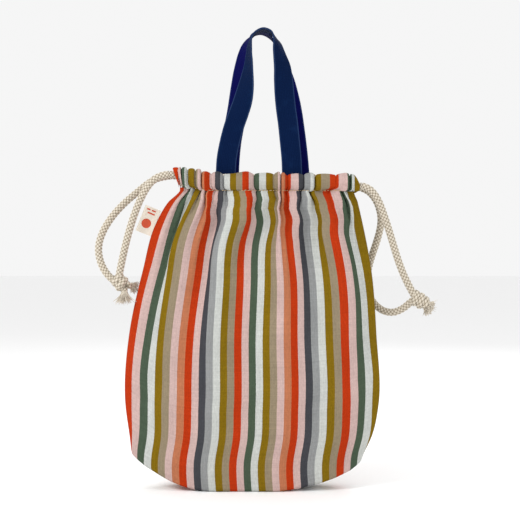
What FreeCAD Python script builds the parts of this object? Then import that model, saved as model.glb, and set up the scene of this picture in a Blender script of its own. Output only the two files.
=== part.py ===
"""Drawstring cloth bag with a boxed base, two webbing handles and two drawcords.

The bag stands on its base: +Z is up, the front faces -Y, and the origin is on the floor under the
middle of the bag. All sizes are in millimetres. Each sewn or threaded piece is a solid of its own.
"""

import FreeCAD, Part
import math
import os

from FreeCAD import Vector

# --- Cloth ---------------------------------------------------------------------------------------
CANVAS = 1.2        # thickness of the striped canvas
LINING = 0.8        # thickness of the plain lining
LAYER_GAP = 1.0     # air between canvas and lining
SECTION_POINTS = 24  # points round each cross-section of the bag
SLICE = 17.0        # greatest height of one slice of the bag

# Cross-sections of the bag: height, left side, right side, half depth, squareness.
# The bag leans a little to the right, and narrows where the cords gather its mouth.
SECTIONS = [
    (-10, -136, 128, 34, 2.6),
    (37, -146, 138, 37, 2.6),
    (66, -153, 151, 38.5, 2.6),
    (103, -158.0, 158.6, 39.5, 2.6),
    (190, -153.5, 156, 39.5, 2.6),
    (272, -136, 150, 35, 2.7),
    (328, -119, 141, 27.5, 3.2),
    (352, -106, 137, 23, 4.2),
    (370, -94, 133, 21.2, 5.0),
]
WALL_TOP = 369.2

# Underside of the base seen from the front: flat in the middle, turned up at both box corners.
BASE_LEFT = [(-165, 50), (-146, 36.5), (-116, 18.5), (-84, 5), (-55, 0)]
BASE_RIGHT = [(32, 0), (84, 8.5), (124, 22), (141, 33), (165, 52)]

# --- Cord tunnels: the turned top hem of each panel ----------------------------------------------
TUNNEL_LEFT, TUNNEL_RIGHT = -94.0, 130.0
TUNNEL_BOTTOM, TUNNEL_TOP = 368.4, 392.5
TUNNEL_OUTER_Y, TUNNEL_INNER_Y = 21.2, 9.2
HEM_LEFT_END, HEM_RIGHT_END = -102.0, 136.0
HEM_BOTTOM = 369.4
HEM_PLY = 0.6       # how far the folded hem stands proud of the tunnel
STITCH = (3.0, 0.5, 0.5)
STITCH_PITCH = 4.2
STITCH_HEIGHT = 370.6

# --- Drawcords -----------------------------------------------------------------------------------
CORD = 8.0          # diameter
CORD_Y = 15.0       # each tunnel's middle, in front of and behind the mouth
LEFT_CORD_Z, RIGHT_CORD_Z = 386.0, 375.4
LEG_LENGTH = 110.0  # straight cord inside a tunnel, next to its exit
TURN_RADIUS = 9.0   # where a cord turns from the front tunnel into the back one
TURN_INSET = 9.0    # from the hem's end to the middle of that turn
TURN_LEG = 48.0

# Free strands, from the tunnel's end to the knot.
LEFT_FRONT_ROUTE = [
    (-102.2, -15, 386), (-113.5, -15, 385), (-125.5, -15, 379.5), (-136.5, -14.2, 368), (-145.5, -13, 351),
    (-152.5, -11.5, 331), (-158, -10, 309), (-161.5, -8.5, 287), (-163, -6.5, 265.5),
]
LEFT_BACK_ROUTE = [
    (-102.2, 15, 386), (-114, 15, 385), (-128, 14.2, 379), (-143.5, 12, 367), (-159, 9.5, 351.5),
    (-173.5, 7.5, 333), (-183.5, 5, 312.5), (-187, 3, 291.5), (-183.5, 1, 272.5), (-174, -0.5, 256.5),
]
RIGHT_FRONT_ROUTE = [
    (136.2, -15, 375.4), (146.5, -15, 371.5), (156.5, -14.8, 364.3), (164.8, -14.5, 353), (171, -14, 339),
    (176, -13, 322), (181, -12, 303), (186, -10.5, 284), (192.5, -8.5, 266.5), (200, -6, 251),
]
RIGHT_BACK_ROUTE = [
    (136.2, 15, 375.4), (147, 15, 371.3), (157, 15.3, 363), (163.7, 16.2, 351), (165.6, 17.8, 336),
    (162.7, 19.8, 320), (157, 22, 303), (151.3, 24.5, 286), (147, 26.2, 269), (146, 26.5, 252),
    (149.5, 25, 236.5), (157.3, 21.8, 224), (168.7, 17.6, 216), (182, 12.5, 214.5), (194.5, 7.5, 219.5),
    (203.5, 3, 229),
]
LEFT_KNOT = (Vector(-163, -2, 251), Vector(0.55, 0, -0.83))
RIGHT_KNOT = (Vector(210, -2, 239), Vector(0.83, 0, -0.55))
LEFT_TAILS = [
    (Vector(-161, -3, 247), Vector(0.2, -0.15, -1)),
    (Vector(-160, 2, 250), Vector(0.5, 0.85, -0.15)),
]
RIGHT_TAILS = [
    (Vector(212, -5, 238), Vector(0.9, -0.45, -0.35)),
    (Vector(212, 1, 236), Vector(0.7, 0.5, -0.65)),
]
CORD_JOIN = 0.1     # air where a strand meets its legs or its knot
KNOT_LENGTH, KNOT_WIDTH = 25.0, 21.0
TAIL_LENGTH, TAIL_ROOT, TAIL_BRUSH = 22.0, 4.0, 6.0

# --- Handles -------------------------------------------------------------------------------------
WEBBING_WIDTH, WEBBING = 25.0, 2.0
TAB_BOTTOM = 371.5
HINGE_Z = 410.0     # bend line, on the outer face of the webbing
HINGE_GAP = 0.4     # from the bend line to the moving strap and to the sewn end
# Middle of each strap from its left foot to its right foot: x, y, z and turn of the webbing.
# A turn of 0 faces the front with its left foot down, 90 lies across the top and 180 is the right leg.
FRONT_STRAP = [
    (-31, -8.1, 410.4, 0), (-26.9, -8.3, 432, 0), (-22, -8.6, 450, 2), (-16, -9, 467, 8),
    (-10.5, -9.8, 484, 20), (-6, -10.8, 506, 45), (-3.8, -11.8, 523, 66), (-2.5, -12.4, 541, 83),
    (-1.0, -12.6, 556, 90), (4, -12.6, 567, 90), (14.4, -12.6, 572.5, 90), (25, -12.6, 567, 90),
    (31.4, -12.6, 554, 102), (35.4, -12.4, 541, 119), (38.4, -11.8, 523, 147),
    (39.6, -10.8, 506, 160), (40.8, -9.8, 488, 170), (42.6, -9, 471, 175), (45, -8.6, 454, 180),
    (47.3, -8.3, 432, 180), (49.4, -8.1, 410.4, 180),
]
BACK_STRAP = [
    (-27.7, 8.1, 410.4, 0), (-25.6, 8.3, 432, 2), (-22.5, 8.7, 450, 5), (-19.4, 9.2, 467, 8),
    (-17, 9.9, 484, 14), (-14.4, 10.8, 506, 26), (-12.8, 11.8, 523, 43), (-10.6, 12.6, 541, 62),
    (-7, 13.2, 557, 80), (-1, 13.4, 568.5, 90), (10.5, 13.4, 573, 90), (22.5, 13.4, 568, 90),
    (30.5, 13.2, 555, 100), (36.5, 12.6, 541, 118), (41, 11.8, 523, 135), (44.4, 10.8, 506, 150),
    (47.6, 9.9, 488, 162), (50.8, 9.2, 470, 170), (53.4, 8.7, 452, 176), (56, 8.3, 432, 180),
    (58.4, 8.1, 410.4, 180),
]
FRONT_FEET, BACK_FEET = (-33.5, 51.0), (-29.5, 61.5)
BARTACK = (19.0, 0.6, 2.0)
BARTACK_HEIGHTS = (375.0, 386.0)

# --- Side label ----------------------------------------------------------------------------------
LABEL_TOP, LABEL_FOOT = Vector(-115.2, 0, 345.9), Vector(-128.1, 0, 314.0)  # its sewn edge
LABEL_WIDTH = 18.5
LABEL_PLY, LABEL_THICK = 0.5, 1.4
MOTIF_RADIUS, MOTIF_THICK = 5.2, 0.2

BIG = 700.0


def save(name, *solids):
    """Writes one node, made of one or more separate solids."""
    shape = solids[0] if len(solids) == 1 else Part.makeCompound(list(solids))
    for solid in shape.Solids:
        if not solid.isValid() or solid.Volume <= 0:
            print("NOT VALID:", name)
    shape.exportStep("parts/" + name + ".step")


def box(x0, x1, y0, y1, z0, z1):
    return Part.makeBox(x1 - x0, y1 - y0, z1 - z0, Vector(x0, y0, z0))


def only_solid(shape):
    """The largest solid of a shape, without slivers that a cut left behind."""
    return max(shape.Solids, key=lambda s: s.Volume)


# --- Bag -----------------------------------------------------------------------------------------
def row_at(rows, height):
    """A cross-section's numbers at any height, on a smooth curve through the given rows."""
    i = max(k for k in range(len(rows) - 1) if rows[k][0] <= height)
    low, high = rows[i], rows[i + 1]
    below, above = rows[max(i - 1, 0)], rows[min(i + 2, len(rows) - 1)]
    span = high[0] - low[0]
    t = (height - low[0]) / span
    row = [height]
    for a, p, q, d in zip(below[1:], low[1:], high[1:], above[1:]):
        leaving = (q - a) / (high[0] - below[0]) * span
        arriving = (d - p) / (above[0] - low[0]) * span
        row.append(p * (1 + 2 * t) * (1 - t) ** 2 + leaving * t * (1 - t) ** 2
                   + q * t * t * (3 - 2 * t) + arriving * t * t * (t - 1))
    return row


def section(height, left, right, depth, squareness, inset):
    """One closed cross-section of the bag, a rounded lens inset from the outside by some millimetres."""
    half, middle = (right - left) / 2 - inset, (right + left) / 2
    points = []
    for i in range(SECTION_POINTS):
        c = math.cos(2 * math.pi * i / SECTION_POINTS)
        s = math.sin(2 * math.pi * i / SECTION_POINTS)
        x = middle + half * math.copysign(abs(c) ** (2 / squareness), c)
        y = (depth - inset) * math.copysign(abs(s) ** (2 / squareness), s)
        points.append(Vector(x, y, height))
    curve = Part.BSplineCurve()
    curve.interpolate(points, PeriodicFlag=True)
    return Part.Wire([curve.toShape()])


def bag_solid(inset, rows):
    """The filled shape of the bag, in level slices from the lowest row to the highest."""
    bottom, top = rows[0][0], rows[-1][0]
    slices = math.ceil((top - bottom) / SLICE)
    heights = [bottom + (top - bottom) * i / slices for i in range(slices)] + [top]
    return Part.makeLoft([section(*row_at(rows, h), inset) for h in heights], True, True)


def above_base(lift):
    """Everything above the base line raised by lift."""
    left = [Vector(x, -BIG, z + lift) for x, z in BASE_LEFT]
    right = [Vector(x, -BIG, z + lift) for x, z in BASE_RIGHT]
    flat = Vector(1, 0, 0)
    rising, falling = Part.BSplineCurve(), Part.BSplineCurve()
    falling.interpolate(left, InitialTangent=left[1] - left[0], FinalTangent=flat)
    rising.interpolate(right, InitialTangent=flat, FinalTangent=right[-1] - right[-2])
    frame = [right[-1], Vector(right[-1].x, -BIG, BIG), Vector(left[0].x, -BIG, BIG), left[0]]
    edges = [falling.toShape(), Part.LineSegment(left[-1], right[0]).toShape(), rising.toShape()]
    edges += Part.makePolygon(frame).Edges
    return Part.Face(Part.Wire(edges)).extrude(Vector(0, 2 * BIG, 0))


def half_space(sign, top):
    """The front (-1) or back (+1) half of the room, up to a height."""
    y0, y1 = (-BIG, 0) if sign < 0 else (0, BIG)
    return box(-BIG, BIG, y0, y1, -BIG, top)


def tunnel(sign, x0, x1, proud, bottom):
    """A flat tube of cloth along X. Its bore is the same for the tunnel and for the hem at its end."""
    outer = box(x0, x1, TUNNEL_INNER_Y - proud, TUNNEL_OUTER_Y + proud, bottom, TUNNEL_TOP + proud)
    long_edges = [e for e in outer.Edges if abs(e.tangentAt(0).x) > 0.9]
    outer = outer.makeFillet(2.5, long_edges)
    bore = box(x0 - 1, x1 + 1, TUNNEL_INNER_Y + CANVAS, TUNNEL_OUTER_Y - CANVAS,
               TUNNEL_BOTTOM + CANVAS, TUNNEL_TOP - CANVAS)
    tube = outer.cut(bore)
    return tube if sign > 0 else tube.mirror(Vector(0, 0, 0), Vector(0, 1, 0))


def cord_slits():
    """Openings on the mouth side of the tunnels' ends, where the other side's cord turns back."""
    room = CORD / 2 + 0.6
    y = TUNNEL_INNER_Y + CANVAS + 0.5
    right = box(HEM_RIGHT_END - 19, HEM_RIGHT_END + 1, -y, y, LEFT_CORD_Z - room, LEFT_CORD_Z + room)
    left = box(HEM_LEFT_END - 1, HEM_LEFT_END + 19, -y, y, RIGHT_CORD_Z - room, RIGHT_CORD_Z + room)
    return left.fuse(right)


def make_canvas():
    outside, inside = bag_solid(0, SECTIONS), bag_solid(CANVAS, SECTIONS)
    shell = outside.cut(inside)
    floor = above_base(0)
    walls = shell.common(above_base(CANVAS))
    save("base_panel", only_solid(outside.common(floor).cut(above_base(CANVAS))))
    for name, sign in (("front_panel", -1), ("back_panel", 1)):
        wall = only_solid(walls.common(half_space(sign, WALL_TOP)))
        hem = tunnel(sign, TUNNEL_LEFT, TUNNEL_RIGHT, 0, TUNNEL_BOTTOM).cut(cord_slits())
        save(name, only_solid(wall.fuse(hem).removeSplitter()))


def make_lining():
    """A plain bag inside the canvas, sewn under the tunnels: its top narrows to their inner walls."""
    inset = CANVAS + LAYER_GAP
    rows = [row for row in SECTIONS if row[0] < 350]
    rows.append((352, SECTIONS[-2][1], SECTIONS[-2][2], SECTIONS[-2][3] - 3, 4.6))
    rows.append((367.6, SECTIONS[-1][1] - 1, SECTIONS[-1][2] + 0.5, TUNNEL_INNER_Y + inset + 0.9, 6.0))
    outside, inside = bag_solid(inset, rows), bag_solid(inset + LINING, rows)
    top = rows[-1][0]
    bottom = CANVAS + LAYER_GAP
    save("lining_base", only_solid(outside.common(above_base(bottom)).cut(above_base(bottom + LINING))))
    walls = outside.cut(inside).common(above_base(bottom + LINING))
    save("lining_front", only_solid(walls.common(half_space(-1, top))))
    save("lining_back", only_solid(walls.common(half_space(1, top))))


def make_hems():
    """The folded hems round the tunnels' ends, where the cords come out."""
    for name, x0, x1 in (
        ("left_cord_exit_hem", HEM_LEFT_END, TUNNEL_LEFT - 0.2),
        ("right_cord_exit_hem", TUNNEL_RIGHT + 0.2, HEM_RIGHT_END),
    ):
        pair = [tunnel(sign, x0, x1, HEM_PLY, HEM_BOTTOM).cut(cord_slits()) for sign in (-1, 1)]
        save(name, *[s for hem in pair for s in hem.Solids])


def make_stitches():
    """The row of stitches that closes each tunnel under its cords."""
    length, deep, high = STITCH
    count = int((TUNNEL_RIGHT - TUNNEL_LEFT - 4) / STITCH_PITCH)
    for name, sign in (("front_tunnel_stitching", -1), ("back_tunnel_stitching", 1)):
        y = TUNNEL_OUTER_Y + 0.02
        y0, y1 = (y, y + deep) if sign > 0 else (-y - deep, -y)
        rows = []
        for i in range(count):
            x = TUNNEL_LEFT + 3 + i * STITCH_PITCH
            rows.append(box(x, x + length, y0, y1, STITCH_HEIGHT, STITCH_HEIGHT + high))
        save(name, *rows)


# --- Handles -------------------------------------------------------------------------------------
def strap_section(point, along, turn):
    """The webbing's rectangle at a point, square to the way that the strap runs."""
    angle = math.radians(turn)
    across = Vector(math.cos(angle), -math.sin(angle), 0)
    across = (across - along * across.dot(along)).normalize()
    through = along.cross(across).normalize()
    w, t = across * (WEBBING_WIDTH / 2), through * (WEBBING / 2)
    corners = [point - w - t, point + w - t, point + w + t, point - w + t]
    return Part.makePolygon(corners + [corners[0]])


def strap(route):
    """A strap lofted straight from each rectangle to the next. Both ends are cut level."""
    points = [Vector(*row[:3]) for row in route]
    sections = []
    for i, point in enumerate(points):
        along = points[min(i + 1, len(points) - 1)] - points[max(i - 1, 0)]
        if i in (0, len(points) - 1):
            along = Vector(0, 0, along.z)
        sections.append(strap_section(point, along.normalize(), route[i][3]))
    return Part.makeLoft(sections, True, True)


def make_handle(name, route, feet):
    side = math.copysign(1, route[0][1])
    save(name, strap(route))
    tabs, bars = [], []
    for foot, x, turn in ((feet[0], route[0][0], 0), (feet[1], route[-1][0], 180)):
        y = route[0][1]
        tabs.append(strap([(foot, y, TAB_BOTTOM, turn), (x, y, HINGE_Z - HINGE_GAP, turn)]))
        inner = abs(y) - WEBBING / 2 - 0.02
        for height in BARTACK_HEIGHTS:
            y0, y1 = sorted((side * inner, side * (inner - BARTACK[1])))
            half = BARTACK[0] / 2
            bars.append(box(foot - half, foot + half, y0, y1, height, height + BARTACK[2]))
    save(name + "_sewn_ends", *tabs)
    save(name + "_bartacks", *bars)


# --- Drawcords -----------------------------------------------------------------------------------
def cord_path(route):
    """Straight runs joined by tangent arcs, each as large as its two runs allow, and the arcs' radii."""
    points = [Vector(*p) for p in route]
    edges, radii, start = [], [], points[0]
    for before, corner, after in zip(points, points[1:], points[2:]):
        back, on = (before - corner), (after - corner)
        reach = 0.45 * min(back.Length, on.Length)
        back.normalize()
        on.normalize()
        half_turn = (math.pi - back.getAngle(on)) / 2
        radius = reach / math.tan(half_turn)
        radii.append(round(radius, 1))
        first, last = corner + back * reach, corner + on * reach
        inward = (back + on).normalize()
        middle = corner + inward * (radius / math.cos(half_turn) - radius)
        edges.append(Part.LineSegment(start, first).toShape())
        edges.append(Part.Arc(first, middle, last).toShape())
        start = last
    edges.append(Part.LineSegment(start, points[-1]).toShape())
    return Part.Wire(edges), radii


def cord_tube(name, route):
    path, radii = cord_path(route)
    along = Vector(*route[1]) - Vector(*route[0])
    circle = Part.Wire([Part.makeCircle(CORD / 2, Vector(*route[0]), along)])
    tube = path.makePipeShell([circle], True, False)
    share = tube.Volume / (path.Length * math.pi * (CORD / 2) ** 2)
    print(f"{name}: {path.Length:.0f} mm, bend radii {radii}, volume share {share:.3f}")
    return tube


def turn_back(hem_end, inward, height):
    """Cord that runs to a tunnel's end, turns across the mouth and runs back along the other tunnel."""
    across = hem_end + inward * TURN_INSET
    start = across + inward * TURN_RADIUS
    away = start + inward * TURN_LEG
    r, y = TURN_RADIUS, CORD_Y
    k = r * (1 - math.sqrt(0.5))
    bend = [(start, y), (across + inward * k, y - k), (across, y - r)]
    front = [Vector(px, -py, height) for px, py in bend]
    back = [Vector(px, py, height) for px, py in reversed(bend)]
    path = Part.Wire([
        Part.LineSegment(Vector(away, -y, height), front[0]).toShape(),
        Part.Arc(*front).toShape(),
        Part.LineSegment(front[-1], back[0]).toShape(),
        Part.Arc(*back).toShape(),
        Part.LineSegment(back[-1], Vector(away, y, height)).toShape(),
    ])
    circle = Part.Wire([Part.makeCircle(CORD / 2, Vector(away, -y, height), Vector(-inward, 0, 0))])
    return only_solid(path.makePipeShell([circle], True, False))


def knot_solid(middle, axis, grown=0.0):
    """The outer shape of an overhand knot: an egg along its axis."""
    ball = Part.makeSphere(KNOT_WIDTH / 2 + grown)
    stretch = FreeCAD.Matrix()
    stretch.scale(1, 1, KNOT_LENGTH / KNOT_WIDTH)
    egg = ball.transformGeometry(stretch)
    egg.Placement = FreeCAD.Placement(middle, FreeCAD.Rotation(Vector(0, 0, 1), axis))
    return egg


def tail(start, towards):
    """A frayed cord end, widening to a brush."""
    return Part.makeCone(TAIL_ROOT, TAIL_BRUSH, TAIL_LENGTH, start, towards)


def make_cord(side, height, exit_x, outward, far_end, routes, knot, tails):
    """A whole drawcord. Its strands and tails end just clear of the legs and the knot that they join."""
    legs_room = box(*sorted((exit_x + outward * CORD_JOIN, -outward * BIG)), -BIG, BIG, -BIG, BIG)
    knot_room = knot_solid(*knot, CORD_JOIN)
    for face, route in zip(("front", "back"), routes):
        name = side + "_cord_" + face + "_strand"
        save(name, only_solid(cord_tube(name, route).cut(legs_room).cut(knot_room)))
    legs = []
    for y in (-CORD_Y, CORD_Y):
        start = Vector(exit_x, y, height)
        legs.append(Part.makeCylinder(CORD / 2, LEG_LENGTH, start, Vector(-outward, 0, 0)))
    save(side + "_cord_tunnel_legs", *legs)
    save(side + "_cord_far_turn", turn_back(far_end, outward, height))
    save(side + "_cord_knot", knot_solid(*knot))
    save(side + "_cord_tails", *[only_solid(tail(*t).cut(knot_room)) for t in tails])


# --- Label ---------------------------------------------------------------------------------------
def make_label():
    """A folded woven label in the left side seam: two plies joined by the fold at its outer edge."""
    seam = (LABEL_FOOT - LABEL_TOP).normalize()
    outward = Vector(seam.z, 0, -seam.x)
    height = (LABEL_TOP - LABEL_FOOT).Length
    plate = Part.makeBox(LABEL_WIDTH, LABEL_THICK, height, Vector(0, -LABEL_THICK / 2, 0))
    gap = LABEL_THICK - 2 * LABEL_PLY
    slot = Part.makeBox(LABEL_WIDTH, gap, height + 2, Vector(-LABEL_PLY, -gap / 2, -1))
    label = plate.cut(slot)
    middle = Vector(LABEL_WIDTH / 2, -LABEL_THICK / 2 - 0.02, height * 0.62)
    motif = Part.makeCylinder(MOTIF_RADIUS, MOTIF_THICK, middle, Vector(0, -1, 0))
    turn = FreeCAD.Placement(LABEL_TOP, FreeCAD.Rotation(outward, Vector(0, 0, 0), seam, "ZXY"))
    for name, shape in (("side_label", label), ("side_label_motif", motif)):
        shape.Placement = turn
        save(name, shape)


def main():
    os.makedirs("parts", exist_ok=True)
    make_canvas()
    make_lining()
    make_hems()
    make_stitches()
    make_handle("front_handle", FRONT_STRAP, FRONT_FEET)
    make_handle("back_handle", BACK_STRAP, BACK_FEET)
    left_routes, right_routes = (LEFT_FRONT_ROUTE, LEFT_BACK_ROUTE), (RIGHT_FRONT_ROUTE, RIGHT_BACK_ROUTE)
    make_cord("left", LEFT_CORD_Z, HEM_LEFT_END, -1, HEM_RIGHT_END, left_routes, LEFT_KNOT, LEFT_TAILS)
    make_cord("right", RIGHT_CORD_Z, HEM_RIGHT_END, 1, HEM_LEFT_END, right_routes, RIGHT_KNOT, RIGHT_TAILS)
    make_label()


main()
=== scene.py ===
"""Looks of a striped drawstring cloth bag, on the CAD frame. Metres, +Z up, the front faces -Y."""

import math

import bpy
import numpy as np
from mathutils import Matrix, Vector, noise


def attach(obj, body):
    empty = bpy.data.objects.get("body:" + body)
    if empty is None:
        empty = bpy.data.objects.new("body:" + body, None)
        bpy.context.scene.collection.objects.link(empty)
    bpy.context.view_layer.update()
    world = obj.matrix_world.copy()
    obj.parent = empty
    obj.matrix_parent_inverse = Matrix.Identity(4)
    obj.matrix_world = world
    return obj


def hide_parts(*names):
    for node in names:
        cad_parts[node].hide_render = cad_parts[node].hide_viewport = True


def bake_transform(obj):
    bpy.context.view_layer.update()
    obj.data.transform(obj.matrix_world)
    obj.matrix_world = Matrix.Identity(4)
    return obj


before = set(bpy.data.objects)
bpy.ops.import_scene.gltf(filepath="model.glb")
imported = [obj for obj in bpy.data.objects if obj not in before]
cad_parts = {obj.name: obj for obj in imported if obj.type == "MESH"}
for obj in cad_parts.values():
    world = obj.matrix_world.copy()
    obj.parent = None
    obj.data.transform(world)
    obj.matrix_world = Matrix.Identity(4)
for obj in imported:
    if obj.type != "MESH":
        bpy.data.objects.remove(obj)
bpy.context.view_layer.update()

MM = 0.001

# --- Driving sizes ---
# Cross-sections of the bag: height, left side, right side, half depth (mm) and squareness. They stay within
# a few millimetres of the CAD's.
SECTIONS = np.array([
    (-10, -136, 128, 34, 2.6),
    (37, -149, 138, 37, 2.6),
    (66, -153, 151, 38.5, 2.6),
    (103, -158.0, 158.6, 39.5, 2.6),
    (190, -153.5, 156, 39.5, 2.6),
    (272, -136, 149.5, 35, 2.6),
    (328, -120.5, 139, 27.5, 2.8),
    (352, -107.5, 133.5, 23, 3.3),
    (370, -93, 129, 21.2, 4.4),
])
# Underside of the bag, seen from the front: x and height (mm).
BASE_LINE = np.array([
    (-165, 52), (-149, 38.5), (-132, 27), (-116, 18.5), (-100, 10.8), (-84, 5), (-70, 1.6), (-55, 0),
    (32, 0), (58, 2.9), (84, 8.5), (104, 14.6), (124, 22), (141, 33), (165, 52),
])
STITCH_Z = 0.3695           # where the outer canvas is sewn to make the cord tunnel
SIDE_TOP_Z = 0.3688         # top of the side slit between the two tunnels
PANEL_HEIGHT = 0.445        # flat height of each canvas panel, with the tunnel's turned hem
LINING_TOP = 368.0          # top of the lining (mm)
LINING_INSET = 3.0          # how far inside the canvas the lining lies (mm)
THROAT = 10.6               # half the gap between the linings at the mouth, about (mm)
STRIPE = 0.0091             # width of one stripe
COLUMNS = 400               # mesh columns across one panel
BASE_ROUND = 0.0045         # radius of the turn from the base up into the wall
LEFT_LIFT = 5.5             # how much higher the left end of the mouth is (mm)
CORD = 0.008                # thickness of the cord

# Middle line of the tunnel's cloth in section: distance from the mouth's middle plane, and height (mm).
TUNNEL_LOOP = np.array([
    (18.2, 369.5), (20.2, 373.0), (21.2, 378.5), (20.9, 385.0), (18.9, 389.9), (15.2, 391.9),
    (11.7, 390.0), (9.9, 385.2), (9.4, 379.0), (10.4, 373.4), (13.4, 370.3), (17.2, 369.9),
])
TUNNEL_AXIS = (15.0, 381.0)
TUNNEL_TOP = 392            # (mm)
TUNNEL_ENDS = (-92.0, 127.0)    # x of the tunnels' two ends (mm)
HANDLE_MIDDLES = (-31.5, 56.0)  # x of the handles' sewn ends, where the tunnels lie flat (mm)

# Control points of the free cords (mm). They follow the CAD's tubes, up to a few millimetres off them. The
# last ones are inside the knot.
LEFT_FRONT_ROUTE = [
    (-102.2, -15, 390), (-113, -15, 388.5), (-123.5, -15, 382), (-133, -14.2, 369), (-141, -13, 352.5),
    (-148.5, -11.5, 332), (-155, -10, 310), (-160, -8.5, 289), (-164, -6.5, 271), (-166, -4, 260),
]
LEFT_BACK_ROUTE = [
    (-102.2, 15, 390), (-114, 15, 389), (-128, 14.2, 383), (-144, 12, 369.5), (-161, 9.5, 355),
    (-177, 7.5, 337), (-188.5, 5, 317), (-193, 3, 297.5), (-189, 1, 279), (-180, -0.5, 264),
    (-172, -1.5, 258),
]
RIGHT_FRONT_ROUTE = [
    (136.2, -15, 375.4), (143.5, -15, 373.5), (151, -14.8, 367), (157.8, -14.5, 356), (163.8, -14, 340),
    (169.8, -13, 322), (175.6, -12, 303), (181.5, -10.5, 284), (188.5, -8.5, 266), (196.5, -6, 250),
    (203, -3.5, 239),
]
RIGHT_BACK_ROUTE = [
    (136.2, 15, 375.4), (144.5, 15, 373), (153.5, 15.3, 365), (160.5, 16.2, 352.5), (164, 17.8, 336),
    (162, 19.8, 320), (157, 22, 303), (151.3, 24.5, 286), (147, 26.2, 269), (146, 26.5, 253),
    (149, 25, 238), (156.5, 21.8, 226.3), (167, 17.6, 218.7), (179, 12.5, 217.3), (190, 8, 222.5),
    (199, 3.5, 231), (205, 0, 236),
]
# Middle of each handle from one sewn end to the other: x, y, z (mm) and turn of the webbing (degrees).
FRONT_STRAP = [
    (-33.5, -8.1, 371.5, 0), (-32.3, -8.1, 391, 0), (-31, -8.1, 410.4, 0), (-26.9, -8.3, 432, 0),
    (-22, -8.6, 450, 2), (-16, -9, 467, 8), (-10.5, -9.8, 484, 20), (-6, -10.8, 506, 45),
    (-3.8, -11.8, 523, 62), (-3.0, -12.4, 541, 74), (-1.6, -12.6, 556, 82), (4, -12.6, 564.5, 90),
    (14.4, -12.6, 569.5, 90), (25, -12.6, 565, 90), (31.4, -12.6, 554, 112), (34.6, -12.4, 541, 128),
    (38.4, -11.8, 523, 147), (39.6, -10.8, 506, 160), (40.8, -9.8, 488, 170), (42.6, -9, 471, 175),
    (45, -8.6, 454, 180), (47.3, -8.3, 432, 180), (49.4, -8.1, 410.4, 180), (50.2, -8.1, 391, 180),
    (51, -8.1, 371.5, 180),
]
BACK_STRAP = [
    (-29.5, 8.1, 371.5, 0), (-28.6, 8.1, 391, 0), (-27.7, 8.1, 410.4, 0), (-25.6, 8.3, 432, 2),
    (-22.5, 8.7, 450, 5), (-19.4, 9.2, 467, 8), (-17, 9.9, 484, 14), (-14.4, 10.8, 506, 26),
    (-12.8, 11.8, 523, 40), (-10.0, 12.6, 541, 50), (-6.5, 13.2, 556.5, 66), (-1, 13.4, 566, 84),
    (10.5, 13.4, 570.5, 90), (22.5, 13.4, 566, 90), (30.5, 13.2, 555, 100), (36.5, 12.6, 541, 118),
    (41, 11.8, 523, 135), (44.4, 10.8, 506, 150), (47.6, 9.9, 488, 162), (50.8, 9.2, 470, 170),
    (53.4, 8.7, 452, 176), (56, 8.3, 432, 180), (58.4, 8.1, 410.4, 180), (60, 8.1, 391, 180),
    (61.5, 8.1, 371.5, 180),
]
WEBBING_WIDTH, WEBBING = 0.025, 0.0018

# The two gathered ends of the mouth: name, body, and where the cloth starts and ends at that end.
MOUTH_ENDS = {
    -1: ("left", "left_mouth_end", ((-0.048, 0, 0.371), (-0.0820, 0, 0.3904))),
    1: ("right", "right_mouth_end", ((0.076, 0, 0.371), (0.1161, 0, 0.3939))),
}


# --- Small tools ---
def smoothstep(low, high, x):
    t = np.clip((np.asarray(x, float) - low) / (high - low), 0, 1)
    return t * t * (3 - 2 * t)


def through(points, steps):
    """A smooth line (Catmull-Rom) through rows of numbers, with some steps from each row to the next."""
    p = np.asarray(points, float)
    ends = np.vstack([2 * p[0] - p[1], p, 2 * p[-1] - p[-2]])
    t = np.linspace(0, 1, steps, endpoint=False)[:, None]
    out = []
    for a, b, c, d in zip(ends, ends[1:], ends[2:], ends[3:]):
        out.append(0.5 * (2 * b + (c - a) * t + (2 * a - 5 * b + 4 * c - d) * t ** 2
                          + (3 * b - a - 3 * c + d) * t ** 3))
    return np.vstack(out + [p[-1:]])


def distances(line):
    """Distance along a line of points, up to each point."""
    return np.concatenate([[0], np.cumsum(np.linalg.norm(np.diff(line, axis=0), axis=1))])


def directions(line):
    """Unit vectors along a line of points."""
    along = np.gradient(line, axis=0)
    return along / np.linalg.norm(along, axis=1, keepdims=True)


def side_of(direction, axis=2, limit=0.9):
    """A vector square to a direction and to one axis, or to x if the direction is nearly along that axis."""
    return np.cross(direction, np.eye(3)[axis if abs(direction[axis]) < limit else 0])


def grid_faces(rows, cols, closed=False, start=0):
    """Quads of a grid of points numbered row by row, closed from the last column to the first if asked."""
    r = np.arange(rows - 1)[:, None] * cols
    c = np.arange(cols if closed else cols - 1)[None, :]
    nxt = (c + 1) % cols
    return start + np.stack([r + c, r + nxt, r + cols + nxt, r + cols + c], axis=2).reshape(-1, 4)


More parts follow.
